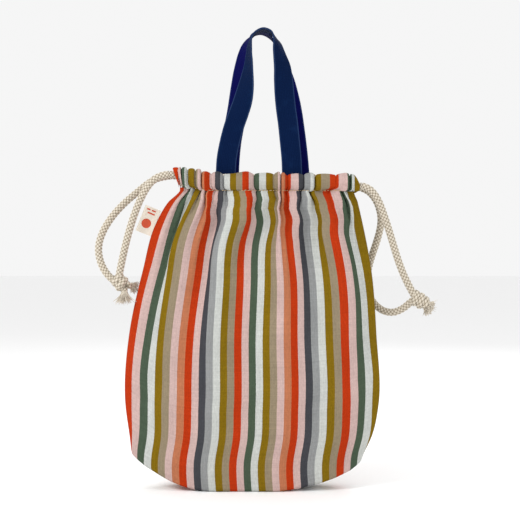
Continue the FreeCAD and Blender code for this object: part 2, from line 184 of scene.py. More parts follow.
def new_piece(name, points, faces, uv=None, normals=None, material=None, values=None):
    """A smooth mesh object. uv and values (named numbers) are given per point."""
    mesh = bpy.data.meshes.new(name)
    corners = [tuple(int(i) for i in face) for face in faces]
    mesh.from_pydata([tuple(p) for p in np.asarray(points, float)], [], corners)
    mesh.shade_smooth()
    if uv is not None:
        layer = mesh.uv_layers.new(name="cloth")
        index = np.zeros(len(mesh.loops), np.int32)
        mesh.loops.foreach_get("vertex_index", index)
        layer.data.foreach_set("uv", np.asarray(uv, np.float32)[index].ravel())
    for key, numbers in (values or {}).items():
        attribute = mesh.attributes.new(key, "FLOAT", "POINT")
        attribute.data.foreach_set("value", np.asarray(numbers, np.float32).ravel())
    if normals is not None:
        mesh.normals_split_custom_set_from_vertices([tuple(n) for n in normals])
    if material is not None:
        mesh.materials.append(material)
    obj = bpy.data.objects.new(name, mesh)
    bpy.context.scene.collection.objects.link(obj)
    return obj


def grid_normals(p, outward):
    """Unit normals of a grid of points on the side that outward points to, and whether they already were."""
    n = np.cross(np.gradient(p, axis=1), np.gradient(p, axis=0))
    n /= np.maximum(np.linalg.norm(n, axis=2, keepdims=True), 1e-12)
    flip = np.sign(np.einsum("rcx,rcx->rc", n, np.broadcast_to(outward, p.shape)).sum())
    return n * flip, flip > 0


def tube(line, radii, sides, side=None):
    """Points and faces of a closed tube along a line, with both ends capped.

    radii has a number, or one for each side, for every point. The first side is where the vector side points.
    """
    along = directions(line)
    side = side_of(along[0]) if side is None else side
    angle = 2 * np.pi * np.arange(sides) / sides
    rings = []
    for point, direction, radius in zip(line, along, radii):
        side = side - direction * (side @ direction)
        side /= np.linalg.norm(side)
        ring = np.outer(np.cos(angle), side) + np.outer(np.sin(angle), np.cross(direction, side))
        rings.append(point + np.reshape(radius, (-1, 1)) * ring)
    points = np.vstack(rings + [line[:1], line[-1:]])
    faces = list(grid_faces(len(line), sides, closed=True))
    base, first, last = (len(line) - 1) * sides, len(points) - 2, len(points) - 1
    for k in range(sides):
        faces.append((first, (k + 1) % sides, k))
        faces.append((last, base + k, base + (k + 1) % sides))
    return points, faces


def joined(parts):
    """One list of points and one of faces, from several pairs."""
    points, faces, start = [], [], 0
    for p, f in parts:
        points.append(p)
        faces += [tuple(i + start for i in face) for face in f]
        start += len(p)
    return np.vstack(points), faces


def rough(x, y, z, scale, seed):
    """Smooth noise from -1 to 1."""
    return noise.noise(Vector((x / scale + seed, y / scale - seed, z / scale + 0.37 * seed)))


def rides(piece, node, body):
    """The piece stands for one CAD node and moves with one body."""
    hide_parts(node)
    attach(piece, body)
    return piece


def gathers(piece, node):
    """The piece stands for one CAD node; its transform is baked into its mesh."""
    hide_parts(node)
    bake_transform(piece)


# --- Materials ---
def srgb(r, g, b):
    """A colour from 0 to 255 in sRGB, as the linear colour that a shader takes."""
    linear = [c / 255 / 12.92 if c <= 10.3 else ((c / 255 + 0.055) / 1.055) ** 2.4 for c in (r, g, b)]
    return (*linear, 1.0)


class Nodes:
    """Short calls for building one material's nodes."""

    def __init__(self, name, roughness, specular, sheen=0.0):
        self.material = bpy.data.materials.new(name)
        self.material.use_nodes = True
        self.tree = self.material.node_tree
        self.shader = self.tree.nodes["Principled BSDF"]
        self.fill(self.shader, {"Roughness": roughness, "Specular IOR Level": specular, "Sheen Weight": sheen,
                                "Sheen Roughness": 0.6})

    def new(self, kind, **settings):
        node = self.tree.nodes.new("ShaderNode" + kind)
        for key, value in settings.items():
            setattr(node, key, value)
        return node

    def fill(self, node, values):
        """Sets inputs of a node, by name or number, or joins them to other nodes' outputs."""
        for key, value in values.items():
            if isinstance(value, bpy.types.NodeSocket):
                self.tree.links.new(value, node.inputs[key])
            else:
                node.inputs[key].default_value = value

    def math(self, operation, a, b=0.0, c=0.0):
        node = self.new("Math", operation=operation)
        self.fill(node, {0: a, 1: b, 2: c})
        return node.outputs[0]

    def times(self, a, b):
        return self.math("MULTIPLY", a, b)

    def uv(self):
        """The cloth's own coordinates in metres: across, along."""
        split = self.new("SeparateXYZ")
        self.fill(split, {0: self.new("UVMap", uv_map="cloth").outputs[0]})
        return split.outputs[0], split.outputs[1]

    def place(self):
        return self.new("TexCoord").outputs["Object"]

    def value(self, name):
        return self.new("Attribute", attribute_name=name).outputs["Fac"]

    def noise(self, at, scale, detail, roughness=0.5):
        node = self.new("TexNoise")
        self.fill(node, {"Vector": at, "Scale": scale, "Detail": detail, "Roughness": roughness})
        return node.outputs["Fac"]

    def streaks(self, u, v, across, along, detail, roughness=0.5, layer=0.0):
        """Noise with so many grains to a metre, across and along the cloth."""
        node = self.new("CombineXYZ")
        self.fill(node, {0: self.times(u, across), 1: self.times(v, along), 2: layer})
        return self.noise(node.outputs[0], 1.0, detail, roughness)

    def ramp(self, fac, stops, constant=False):
        node = self.new("ValToRGB")
        node.color_ramp.interpolation = "CONSTANT" if constant else "LINEAR"
        elements = node.color_ramp.elements
        elements.remove(elements[1])
        elements[0].position, elements[0].color = stops[0]
        for position, colour in stops[1:]:
            elements.new(position).color = colour
        self.fill(node, {0: fac})
        return node.outputs[0]

    def mix(self, fac, a, b, kind="MIX"):
        node = self.new("Mix", data_type="RGBA", blend_type=kind)
        self.fill(node, {0: fac, 6: a, 7: b})
        return node.outputs[2]

    def shaded(self, colour, fac, low, high):
        """The colour times a grey, which goes from low to high. Each is a value of fac and a grey level."""
        tone = self.ramp(fac, [(low[0], grey(low[1])), (high[0], grey(high[1]))])
        return self.mix(1.0, colour, tone, "MULTIPLY")

    def tinted(self, colour, other, fac, share):
        """The colour, with up to a share of another one where fac is 1."""
        return self.mix(self.times(fac, share), colour, other)

    def finish(self, colour, height=None, depth=0.0):
        self.fill(self.shader, {"Base Color": colour})
        if height is not None:
            bump = self.new("Bump")
            self.fill(bump, {"Distance": depth, "Height": height})
            self.fill(self.shader, {"Normal": bump.outputs[0]})
        return self.material


RED, PINK, GREEN = srgb(196, 60, 22), srgb(216, 186, 180), srgb(80, 96, 78)
WHITE, OLIVE, TAUPE = srgb(212, 215, 210), srgb(138, 110, 22), srgb(158, 143, 118)
SALMON, DARK, LIGHT = srgb(200, 126, 90), srgb(74, 75, 80), srgb(156, 158, 158)
STRIPES = [RED, PINK, GREEN, WHITE, OLIVE, TAUPE, PINK, SALMON, RED, PINK, DARK, LIGHT, WHITE, OLIVE, TAUPE]
MIDDLE_STRIPE = 17.5        # stripes from the left seam to the middle of a panel


def weave(n, u, v, thread):
    """Height of a plain weave from 0 to 1, and a slow unevenness of its threads from 0 to 1."""
    warp = n.math("SINE", n.times(u, math.pi / thread))
    weft = n.math("SINE", n.times(v, math.pi / thread))
    height = n.math("MULTIPLY_ADD", n.times(warp, weft), 0.5, 0.5)
    along_warp = n.streaks(u, v, 1 / thread, 18.0, 3.0)
    along_weft = n.streaks(u, v, 18.0, 1 / thread, 3.0, layer=7.0)
    return height, n.math("MULTIPLY_ADD", along_weft, 0.5, n.times(along_warp, 0.5))


def grey(level):
    return (level, level, level, 1.0)


def striped_canvas():
    n = Nodes("striped_canvas", roughness=0.9, specular=0.03)
    u, v = n.uv()
    ragged = n.math("SUBTRACT", n.streaks(u, v, 900.0, 900.0, 1.0), 0.5)
    across = n.math("ADD", u, n.times(ragged, 0.0006))
    stripe = n.math("MULTIPLY_ADD", across, 1 / STRIPE, MIDDLE_STRIPE + len(STRIPES))
    repeat = n.math("FRACT", n.math("DIVIDE", stripe, float(len(STRIPES))))
    colour = n.ramp(repeat, [(i / len(STRIPES), c) for i, c in enumerate(STRIPES)], constant=True)
    height, threads = weave(n, u, v, 0.0009)
    slubs = n.streaks(u, v, 650.0, 240.0, 2.0, layer=3.0)
    worn = n.noise(n.place(), 26.0, 4.0, 0.6)
    colour = n.shaded(colour, threads, (0.3, 0.63), (0.7, 0.88))
    # Painted shade in the weave's hollows and painted highlight on its raised threads, by the weave's height.
    colour = n.shaded(colour, height, (0.0, 0.9), (1.0, 1.04))
    colour = n.shaded(colour, slubs, (0.3, 0.91), (0.7, 1.07))
    colour = n.shaded(colour, worn, (0.3, 0.93), (0.7, 1.04))
    return n.finish(colour, n.math("ADD", height, threads), 0.00022)


def plain_cotton(name, base, soil):
    n = Nodes(name, roughness=0.92, specular=0.2, sheen=0.08)
    height, threads = weave(n, *n.uv(), 0.0006)
    colour = n.shaded(base, threads, (0.3, 0.88), (0.7, 1.06))
    return n.finish(n.tinted(colour, soil, n.noise(n.place(), 14.0, 3.0), 0.18), height, 0.00012)


def webbing(name, base, light):
    """Ribbed webbing with lighter selvedges, rubbed scuffs, and painted highlight on its raised ribs."""
    n = Nodes(name, roughness=0.75, specular=0.05)
    u, v = n.uv()
    ribs = n.math("ABSOLUTE", n.math("SINE", n.times(u, math.pi / 0.0021)))
    picks = n.math("SINE", n.times(v, 2 * math.pi / 0.0013))
    slanted = n.math("ADD", v, n.times(ribs, 0.0006))
    chevron = n.math("SINE", n.times(slanted, 2 * math.pi / 0.0019))
    fine = n.math("MULTIPLY_ADD", chevron, 0.2, n.times(picks, 0.1))
    height = n.math("ADD", n.times(ribs, 0.6), fine)
    scuffs = n.ramp(n.noise(n.place(), 60.0, 5.0, 0.65), [(0.52, grey(0.0)), (0.72, grey(1.0))])
    lint = n.streaks(u, v, 3000.0, 400.0, 2.0)
    selvedge = n.math("GREATER_THAN", n.math("ABSOLUTE", u), WEBBING_WIDTH / 2 - 0.0014)
    # Painted highlight on the raised ribs and painted shade between them, by the weave's height.
    colour = n.tinted(base, light, height, 0.22)
    colour = n.tinted(colour, light, scuffs, 0.25)
    colour = n.tinted(colour, light, lint, 0.10)
    colour = n.tinted(colour, srgb(58, 80, 120), selvedge, n.math("MULTIPLY_ADD", picks, 0.2, 0.3))
    return n.finish(colour, height, 0.0002)


def braid_cotton():
    """Natural cotton with fine fibres: painted highlight on the braid's crowns and painted shade in its
    grooves.
    """
    n = Nodes("natural_cotton", roughness=0.9, specular=0.2, sheen=0.25)
    fibres = n.streaks(*n.uv(), 900.0, 3200.0, 3.0, 0.7)
    # Painted shade in the braid's grooves, rising to painted highlight on its crowns, by the braid's height.
    painted_shade_to_highlight = [(0.25, srgb(108, 97, 80)), (0.55, srgb(160, 149, 131)), (0.85, srgb(210, 201, 185))]
    colour = n.shaded(n.ramp(n.value("crown"), painted_shade_to_highlight), fibres, (0.3, 0.86), (0.7, 1.08))
    colour = n.tinted(colour, srgb(200, 186, 160), n.noise(n.place(), 70.0, 3.0), 0.16)
    return n.finish(colour, fibres, 0.00025)


def sewing_thread(name, base):
    n = Nodes(name, roughness=0.55, specular=0.4, sheen=0.1)
    twist = n.noise(n.place(), 1500.0, 2.0)
    return n.finish(n.shaded(base, twist, (0.3, 0.75), (0.7, 1.2)), twist, 0.0001)


def label_cloth(name, base, dark):
    n = Nodes(name, roughness=0.6, specular=0.35, sheen=0.2)
    height, threads = weave(n, *n.uv(), 0.00035)
    return n.finish(n.tinted(base, dark, threads, 0.4), height, 0.00008)


CANVAS = striped_canvas()
LINING = plain_cotton("cream_lining", srgb(226, 220, 206), srgb(176, 164, 142))
ROPE = braid_cotton()
TAN_THREAD = sewing_thread("tan_thread", srgb(188, 160, 118))
NAVY_THREAD = sewing_thread("navy_thread", srgb(20, 34, 74))
FRONT_WEBBING = webbing("navy_webbing_front", srgb(0, 16, 50), srgb(16, 44, 84))
# Painted shade: the back strap's webbing is a darker, more violet copy of the front strap's navy.
SHADED_BACK_WEBBING = webbing("navy_webbing_back_shaded", srgb(0, 0, 62), srgb(8, 18, 84))
LABEL_CLOTH = label_cloth("cream_label", srgb(232, 224, 210), srgb(206, 196, 178))
LABEL_MOTIF = label_cloth("red_label_motif", srgb(206, 78, 40), srgb(176, 58, 26))


# --- Camera, floor and light ---
def make_camera():
    data = bpy.data.cameras.new("camera")
    data.lens, data.sensor_width = 85, 36
    camera = bpy.data.objects.new("camera", data)
    camera.location = (0.0103, -1.535, 0.2838)
    camera.rotation_euler = (math.radians(90), 0, 0)
    bpy.context.scene.collection.objects.link(camera)
    bpy.context.scene.camera = camera


def area_light(name, place, target, size, power):
    data = bpy.data.lights.new(name, "AREA")
    data.energy, data.size, data.shape = power, size, "DISK"
    lamp = bpy.data.objects.new(name, data)
    lamp.location = place
    lamp.rotation_euler = (Vector(target) - Vector(place)).to_track_quat("-Z", "Y").to_euler()
    bpy.context.scene.collection.objects.link(lamp)


def make_stage():
    half = 20.0
    corners = [(-half, -half, 0), (half, -half, 0), (half, half, 0), (-half, half, 0)]
    floor = new_piece("floor", corners, [(0, 1, 2, 3)])
    n = Nodes("pale_floor", roughness=0.9, specular=0.1)
    floor.data.materials.append(n.finish(grey(0.95)))
    world = bpy.data.worlds.new("world")
    world.use_nodes = True
    world.node_tree.nodes["Background"].inputs[0].default_value = (1.0, 1.0, 1.0, 1.0)
    world.node_tree.nodes["Background"].inputs[1].default_value = 0.92
    bpy.context.scene.world = world
    bpy.context.scene.view_settings.view_transform = "Standard"
    area_light("key", (-1.5, -1.1, 1.5), (0, 0, 0.25), 0.8, 24)
    area_light("fill", (1.5, -1.3, 0.9), (0, 0, 0.25), 1.4, 9)
    area_light("rim", (0.6, 1.6, 1.5), (0, 0, 0.3), 1.2, 10)


# --- The bag's cloth ---
def section_at(height):
    """Left, right, half depth and squareness at heights in mm, on smooth curves."""
    z = SECTIONS[:, 0]
    slopes = np.gradient(SECTIONS[:, 1:], z, axis=0)
    i = np.clip(np.searchsorted(z, height) - 1, 0, len(z) - 2)
    span = (z[i + 1] - z[i])[:, None]
    t = ((height - z[i]) / span[:, 0])[:, None]
    from_below = SECTIONS[i, 1:] * (1 + 2 * t) + slopes[i] * span * t
    from_above = SECTIONS[i + 1, 1:] * (3 - 2 * t) + slopes[i + 1] * span * (t - 1)
    return from_below * (1 - t) ** 2 + from_above * t * t


RING_STEP = 2.0
RING_HEIGHTS = np.arange(-8.0, 372.0, RING_STEP)
U = np.linspace(0, 1, COLUMNS + 1)     # across a panel, from the left seam to the right one


def rings():
    """Front half of the cross-section at each ring height: evenly spaced points, normals and length."""
    places, lengths = [], []
    edge_sharpness = 0.24 - 0.072 * smoothstep(300, 366, RING_HEIGHTS)
    across = np.sin(np.linspace(-np.pi / 2, np.pi / 2, 1601))
    for (left, right, depth, squareness), sharper in zip(section_at(RING_HEIGHTS), edge_sharpness):
        x = (left + right) / 2 + (right - left) / 2 * across
        y = -depth * (1 - np.abs(across) ** squareness) ** (1 / squareness + sharper)
        along = np.concatenate([[0], np.cumsum(np.hypot(np.diff(x), np.diff(y)))])
        even = U * along[-1]
        places.append(np.stack([np.interp(even, along, x), np.interp(even, along, y)], axis=1))
        lengths.append(along[-1])
    places = np.array(places)
    tangent = np.gradient(places, axis=1)
    normal = np.stack([tangent[..., 1], -tangent[..., 0]], axis=2)
    normal /= np.linalg.norm(normal, axis=2, keepdims=True)
    return places, normal, np.array(lengths)


RING_PLACES, RING_NORMALS, RING_LENGTHS = rings()
PANEL_WIDTH = RING_LENGTHS.max() * MM      # flat width of each panel, which lies smooth where it is widest
WIDEST_Z = RING_HEIGHTS[RING_LENGTHS.argmax()]


def on_rings(table, z, share):
    """The ring table read at heights in mm and at shares of the way round from the left seam."""
    k = np.clip((z - RING_HEIGHTS[0]) / RING_STEP, 0, len(RING_HEIGHTS) - 1.001)
    c = np.clip(share * COLUMNS, 0, COLUMNS - 0.001)
    i, j = k.astype(int), c.astype(int)
    t, w = (k - i)[..., None], (c - j)[..., None]
    low = table[i, j] * (1 - w) + table[i, j + 1] * w
    high = table[i + 1, j] * (1 - w) + table[i + 1, j + 1] * w
    return low * (1 - t) + high * t


def base_heights():
    """Height of the underside at each column, in mm."""
    x, z = BASE_LINE[:, 0], BASE_LINE[:, 1]
    smooth_x = np.linspace(x[0], x[-1], 600)
    line = np.interp(smooth_x, x, z)
    low = np.full(COLUMNS + 1, 10.0)
    for _ in range(6):
        low = np.interp(on_rings(RING_PLACES, low, U)[:, 0], smooth_x, line)
    return low


BASE_Z = base_heights()


def pleat_phase(u, face):
    """How many pleats lie to the left of a place on the panel. They are uneven, and differ front to back."""
    shift = 0.0 if face < 0 else 2.7
    return (15.0 * u + 2.4 * (1 - np.exp(-u / 0.12)) + 0.62 * np.sin(7.1 * u + 0.6 + shift)
            + 0.34 * np.sin(17.3 * u + 2.1 + shift) + 0.10 * np.sin(41.0 * u + shift))


def pleat_size(phase, face):
    """A size from 0 to 1 for each pleat, which changes between pleats."""
    count = phase - np.sin(2 * np.pi * phase) / (2 * np.pi)
    return 0.5 + 0.5 * np.sin(2.4 * count + (0.3 if face < 0 else 1.9))


def puff(phase, roundness):
    """Cloth between gathers: full outside, and tucked in at each gather. Less round is flatter in front."""
    return np.abs(np.sin(np.pi * phase)) ** roundness


def pleat_pattern(below, face):
    """The shape of the folds along one row of the cloth, before it is known how deep they are."""
    shift = 0.0 if face < 0 else 1.9
    wander = 0.012 * np.sin(5.3 * U + shift) + 0.007 * np.sin(19 * U + 2 * shift)
    u = U + wander * np.minimum(below / 60, 1.5)
    phase = pleat_phase(u, face)
    size = pleat_size(phase, face)
    open_out = float(smoothstep(0, 45, below))
    tucks = (0.55 + 0.75 * size) * puff(phase, 0.45 + 0.35 * size + 0.9 * open_out)
    tucks = tucks * np.exp(-(below / (30 + 34 * size)) ** 1.5)
    every_other = 1.4 * puff(phase / 2 + 0.22, 1.5) * np.exp(-(below / 110.0) ** 1.7)
    every_other = every_other * smoothstep(0, 26, below)
    wide = 1.5 * np.sin(2 * np.pi * (5.3 * u + 0.25 * np.sin(5 * u + shift)) + shift)
    wide = wide * np.exp(-(below / 220.0) ** 2) * smoothstep(0, 70, below)
    return smoothstep(0.02, 0.13, U) * smoothstep(0.99, 0.91, U) * (tucks + every_other + wide)


def fold_row(pattern, flat, room, deepest=8.0):
    """Folds one row of cloth into its room: fold heights in mm, and share of the room up to each column."""
    slope = np.gradient(pattern) / (flat / COLUMNS)

    def taken(depth):
        return np.sqrt(np.maximum(1 - (depth * slope) ** 2, 0.04))

    low, high = 0.0, deepest
    for _ in range(24):
        depth = (low + high) / 2
        low, high = (low, depth) if taken(depth)[1:].mean() * flat < room else (depth, high)
    step = taken(low)
    share = np.concatenate([[0], np.cumsum((step[1:] + step[:-1]) / 2)])
    return low * pattern, share / share[-1]


def drape(p, face):
    """Slow dents and swells all over the cloth, in mm."""
    seed = 3.0 if face < 0 else 11.0
    dents = [1.5 * rough(x, y, z, 74.0, seed) + 0.7 * rough(x, y, z * 0.6, 31.0, seed + 5)
             for x, y, z in p.reshape(-1, 3)]
    return np.array(dents).reshape(p.shape[:2])


def drawn_left(share, amount):
    """Draws the middle of a row of cloth to the left, where the gathers are closer."""
    return share - amount * np.sin(np.pi * share ** 1.2)


def row_steps():
    """Shares of the wall's height: close rows where the base turns up and where the gathers are."""
    turn, gathers_from = BASE_ROUND / STITCH_Z, 0.80
    rounding = turn * (1 - np.cos(np.linspace(0, np.pi / 2, 7)[:-1]))
    plain, gathered = np.linspace(turn, gathers_from, 62)[:-1], np.linspace(gathers_from, 1, 34)
    return np.concatenate([rounding, plain, gathered])


ROW_STEPS = row_steps()


def end_lift(u):
    """How far up the left end of the mouth is pulled by its cord, in mm."""
    return LEFT_LIFT * smoothstep(0.30, 0.0, u)


def below_neighbours(out, reach):
    """The lowest value within reach columns to either side, so that the lining stays inside every fold."""
    wide = np.pad(out, ((0, 0), (reach, reach)), mode="edge")
    return np.min([wide[:, k:k + COLUMNS + 1] for k in range(2 * reach + 1)], axis=0)


def wall_heights(inset, top):
    """Heights of a wall's points, from the base to the top, which is lower at the side slits (mm)."""
    slit = 1 - smoothstep(0.03, 0.075, U) * smoothstep(0.97, 0.925, U)
    low = BASE_Z + inset
    high = top - (STITCH_Z - SIDE_TOP_Z) / MM * slit + (0 if inset else end_lift(U))
    return low + ROW_STEPS[:, None] * (high - low)


def wall(face, inset=0.0, top=STITCH_Z / MM, throat=0.0):
    """A grid of points over a panel, from the base to the stitch line, or over its lining, inset mm inside.

    The lining keeps clear of the cords at its top, throat mm from the mouth's middle plane.
    """
    z = wall_heights(inset, top)
    below, lift = STITCH_Z / MM - z, z - z[0]
    out, share = np.zeros_like(z), np.zeros_like(z)
    for i, height in enumerate(z[:, COLUMNS // 2]):
        under = max(STITCH_Z / MM - height, 0.0)
        room = np.interp(height, RING_HEIGHTS, RING_LENGTHS)
        out[i], share[i] = fold_row(pleat_pattern(under, face), PANEL_WIDTH / MM, room)
        share[i] = drawn_left(share[i], 0.056 * np.exp(-under / 28))
    xy, normal = on_rings(RING_PLACES, z, share), on_rings(RING_NORMALS, z, share)
    in_panel = smoothstep(0, 0.05, U) * smoothstep(1, 0.95, U)
    out = out - 3.0 * in_panel * smoothstep(150, 20, below)
    if inset:
        out = below_neighbours(np.minimum(out, 0.3 * out), 8)
    dents = drape(np.dstack([xy, z]), face)
    out = out + dents * in_panel * smoothstep(0, 25, lift) * smoothstep(-5, 25, below)
    radius = BASE_ROUND / MM
    rounding = radius - np.sqrt(np.maximum(radius ** 2 - (radius - np.minimum(lift, radius)) ** 2, 0))
    out = out - rounding - inset * in_panel
    middle = (xy[:, :1, 0] + xy[:, -1:, 0]) / 2
    x = xy[..., 0] + normal[..., 0] * out
    x = middle + (x - middle) * (1 - inset / 150)
    side_pull = np.exp(-U / 0.03) - 0.5 * np.exp((U - 1) / 0.03)    # the cords draw both side seams in
    x = x + 4.0 * smoothstep(356, 368, z) * side_pull
    y = xy[..., 1] + normal[..., 1] * out
    between_ends = smoothstep(0.04, 0.08, U) * smoothstep(0.96, 0.92, U)
    y = y * (1 - 0.10 * smoothstep(360, STITCH_Z / MM, z) * between_ends)
    if throat:
        near_top = smoothstep(348, top, z)
        narrowed = np.minimum(np.abs(y), throat + 0.25 * (np.abs(y) - throat))
        y = y * (1 - near_top) + np.sign(y) * narrowed * near_top
    return np.dstack([x, y * (-face), z]) * MM


def across_cloth(p, columns):
    """Distance across the flat panel from its middle, a little closer at the sides.

    Below its widest, the cloth goes on straight into the base.
    """
    z = np.minimum(p[..., 2] / MM, WIDEST_Z)
    flat = (U[columns] - 0.5) * np.interp(z, RING_HEIGHTS, RING_LENGTHS) * MM
    edge = (flat / 0.17) ** 2       # 1 at the sides, about
    return flat * (1.05 - 0.06 * edge - np.where(flat < 0, 0.05, 0.046) * edge ** 3)


def up_cloth(p, start):
    """Distance up the cloth of each row of a grid."""
    up = np.linalg.norm(np.diff(p, axis=0), axis=2).mean(axis=1)
    return start + np.concatenate([[0], np.cumsum(up)])


def foot_share(z):
    """1 at the tunnel's foot and 0 at its top."""
    return np.clip((TUNNEL_TOP - z) / 22, 0, 1)


def top_share(z):
    """0 at and under the tunnel's middle and 1 at its top."""
    return np.clip((z - TUNNEL_TOP + 16) / 16, 0, 1)


# The panel's columns at the tunnel's two ends.
TUNNEL_FIRST, TUNNEL_LAST = round(0.062 * COLUMNS), round(0.938 * COLUMNS)


def tunnel_folds(u, at, face):
    """The tunnel's gathers at each column: x, how far the cloth swells (mm), and the pleats up to there."""
    phase = pleat_phase(u, face)
    size = pleat_size(phase, face)
    pattern = (0.55 + 0.75 * size) * puff(phase, 0.42 + 0.3 * size) + 0.10 * puff(2 * phase + 0.3, 1.0)
    flat, room = PANEL_WIDTH / MM * (u[-1] - u[0]), TUNNEL_ENDS[1] - TUNNEL_ENDS[0]
    heights, share = fold_row(np.interp(U, at, pattern), flat, room, deepest=7.0)
    x = TUNNEL_ENDS[0] + room * np.interp(at, U, drawn_left(share, 0.064))
    return x, np.interp(at, U, heights - heights.min()), phase


def tunnel(face, seam):
    """A grid of points over one tunnel: round its cords from the stitch line, over the top and back down."""
    u = U[TUNNEL_FIRST:TUNNEL_LAST + 1]
    at = (u - u[0]) / (u[-1] - u[0])                        # share of the way along the tunnel
    gathered_x, crown, phase = tunnel_folds(u, at, face)
    start_x, start_y, start_z = (seam[TUNNEL_FIRST:TUNNEL_LAST + 1] / MM).T
    loop = through(TUNNEL_LOOP, 3)
    q = np.linspace(0, 1, len(loop))[:, None]               # share of the way round it
    away = loop - np.array(TUNNEL_AXIS)
    away /= np.linalg.norm(away, axis=1, keepdims=True)
    away_y, away_z = away[:, :1], away[:, 1:]
    x = start_x + (gathered_x - start_x) * smoothstep(0, 0.14, q)
    inner = 0.25 * smoothstep(0.45, 0.6, q) * smoothstep(1.0, 0.9, q)
    for middle in HANDLE_MIDDLES:
        inner = inner * smoothstep(15, 21, np.abs(x - middle))
    outer = smoothstep(0.0, 0.10, q) * (1 - smoothstep(0.42, 0.68, q))
    ends = smoothstep(0, 0.02, u - u[0]) * smoothstep(0, 0.02, u[-1] - u)
    out = crown * (1 + 0.12 * np.sin(9 * q + 4 * phase)) * (outer + inner) * (1 - 0.3 * away_z ** 2)
    out = out * (0.35 + 0.65 * ends)
    y = loop[:, :1] + away_y * out
    tuck = 2.6 * (1 - puff(phase, 0.8)) * smoothstep(0.5, 1.0, away_z)
    z = loop[:, 1:] + away_z * out * (1 - 0.75 * smoothstep(0.3, 1.0, away_z)) - tuck * ends
    sway = 0.5 * np.sin(15.0 * at + 0.5 + face) + 0.5 * np.sin(41.0 * at + 1.0 - face)
    sway = sway + 3.0 * (1 - at) ** 3 - 1.5 * at
    z = z + sway * ends * smoothstep(0.05, 0.3, q) * smoothstep(1.0, 0.7, q)
    x = x + 5.0 * np.exp(-at / 0.03) * foot_share(z) * smoothstep(0, 0.1, q)    # the left end slants
    z = z - 3.0 * np.exp((at - 1) / 0.025) * top_share(z) + end_lift(u)         # the right end droops
    y = y + (np.abs(start_y) - y) * (1 - smoothstep(0, 0.10, q))
    z = z + (start_z - z) * (1 - smoothstep(0, 0.06, q))
    return np.dstack([x, y * face, z]) * MM


def half_columns(first, last, side):
    """Columns of the left (-1) or right (+1) half of a grid that spans some of a panel's columns."""
    middle = COLUMNS // 2
    return (0, middle - first + 1) if side < 0 else (middle - first, last - first + 1)


def cloth_piece(name, grids, side, material):
    """One half of a panel, made of grids [(points, first column, v of its first row, directions outward)]."""
    points, faces, uvs, normals, start = [], [], [], [], 0
    for p, first, v0, outward in grids:
        n, keep = grid_normals(p, outward)
        a, b = half_columns(first, first + p.shape[1] - 1, side)
        v = up_cloth(p, v0)
        u = across_cloth(p[:, a:b], np.arange(first + a, first + b))
        f = grid_faces(len(p), b - a, start=start)
        faces.append(f if keep else f[:, ::-1])
        points.append(p[:, a:b].reshape(-1, 3))
        normals.append(n[:, a:b].reshape(-1, 3))
        uvs.append(np.stack([u, np.broadcast_to(v[:, None], u.shape)], axis=2).reshape(-1, 2))
        start += len(points[-1])
    return new_piece(name, np.vstack(points), np.vstack(faces), np.vstack(uvs), np.vstack(normals), material)


def away_from_middle(p):
    """Level directions away from the bag's middle, for a wall."""
    return p * np.array([1.0, 1.0, 0.0])


def make_cloth():
    """Both panels with their tunnels, linings and stitches, each in a left and a right half, and the base."""
    seams = {}
    for face, panel in ((-1, "front"), (1, "back")):
        canvas, lining = wall(face), wall(face, LINING_INSET, LINING_TOP, THROAT)
        band = tunnel(face, canvas[-1])
        seams[face] = canvas
        tunnel_axis = np.array([0.0, face * TUNNEL_AXIS[0], TUNNEL_AXIS[1]]) * MM
        round_tunnel = (band - tunnel_axis) * np.array([0.0, 1.0, 1.0])
        outer = [(canvas, 0, 0.0, away_from_middle(canvas)),
                 (band, TUNNEL_FIRST, up_cloth(canvas, 0.0)[-1], round_tunnel)]
        inner = [(lining, 0, 0.0, -away_from_middle(lining))]
        for side, (word, _, _) in MOUTH_ENDS.items():
            canvas_piece = cloth_piece(f"{panel}_canvas_{word}", outer, side, CANVAS)
            lining_piece = cloth_piece(f"{panel}_lining_{word}", inner, side, LINING)
            line_mouth_side(canvas_piece, (len(canvas) - 1) * COLUMNS // 2)
            gathers(canvas_piece, f"{panel}_panel")
            gathers(lining_piece, f"lining_{panel}")
            make_stitches(panel, face, canvas[-1], side, word)
    make_base(seams)


def line_mouth_side(piece, wall_faces):
    """The tunnel's ply on the mouth side is cut from the lining cloth. Its faces come after the wall's."""
    piece.data.materials.append(LINING)
    for polygon in piece.data.polygons[wall_faces:]:
        if polygon.center.z > STITCH_Z + 0.001 and abs(polygon.center.y) < 0.0128:
            polygon.material_index = 1


def make_base(seams):
    """The boxed base: the canvas's bottom edges joined underneath, and the lining's the same inside."""
    front, back = seams[-1][0], seams[1][0]
    share = np.linspace(0, 1, 25)[:, None, None]
    canvas = front[None] * (1 - share) + back[None] * share
    lift = np.array([[0.35 * MM * max(0.0, rough(*place, 0.03, 2.0)) for place in row] for row in canvas])
    canvas[..., 2] = np.maximum(canvas[..., 2] + lift, 0.0002)
    lining = canvas.copy()
    middle = np.array([canvas[..., 0].mean(), 0.0])
    lining[..., :2] = middle + (canvas[..., :2] - middle) * np.array([0.985, 0.94])
    lining[..., 2] += 0.0023
    for name, p, node, material, slot in (("base_canvas", canvas, "base_panel", CANVAS, "canvas"),
                                          ("base_lining", lining, "lining_base", LINING, "lining")):
        n, keep = grid_normals(p, np.array([0.0, 0.0, -1.0]))
        faces = grid_faces(len(p), COLUMNS + 1)
        across = across_cloth(p, np.arange(COLUMNS + 1))
        depth = np.broadcast_to(np.linspace(0, 0.07, len(p))[:, None], p.shape[:2])
        uv = np.stack([across, depth], axis=2).reshape(-1, 2)
        faces = faces if keep else faces[:, ::-1]
        piece = new_piece(name, p.reshape(-1, 3), faces, uv, n.reshape(-1, 3), material)
        rides(piece, node, "bag")


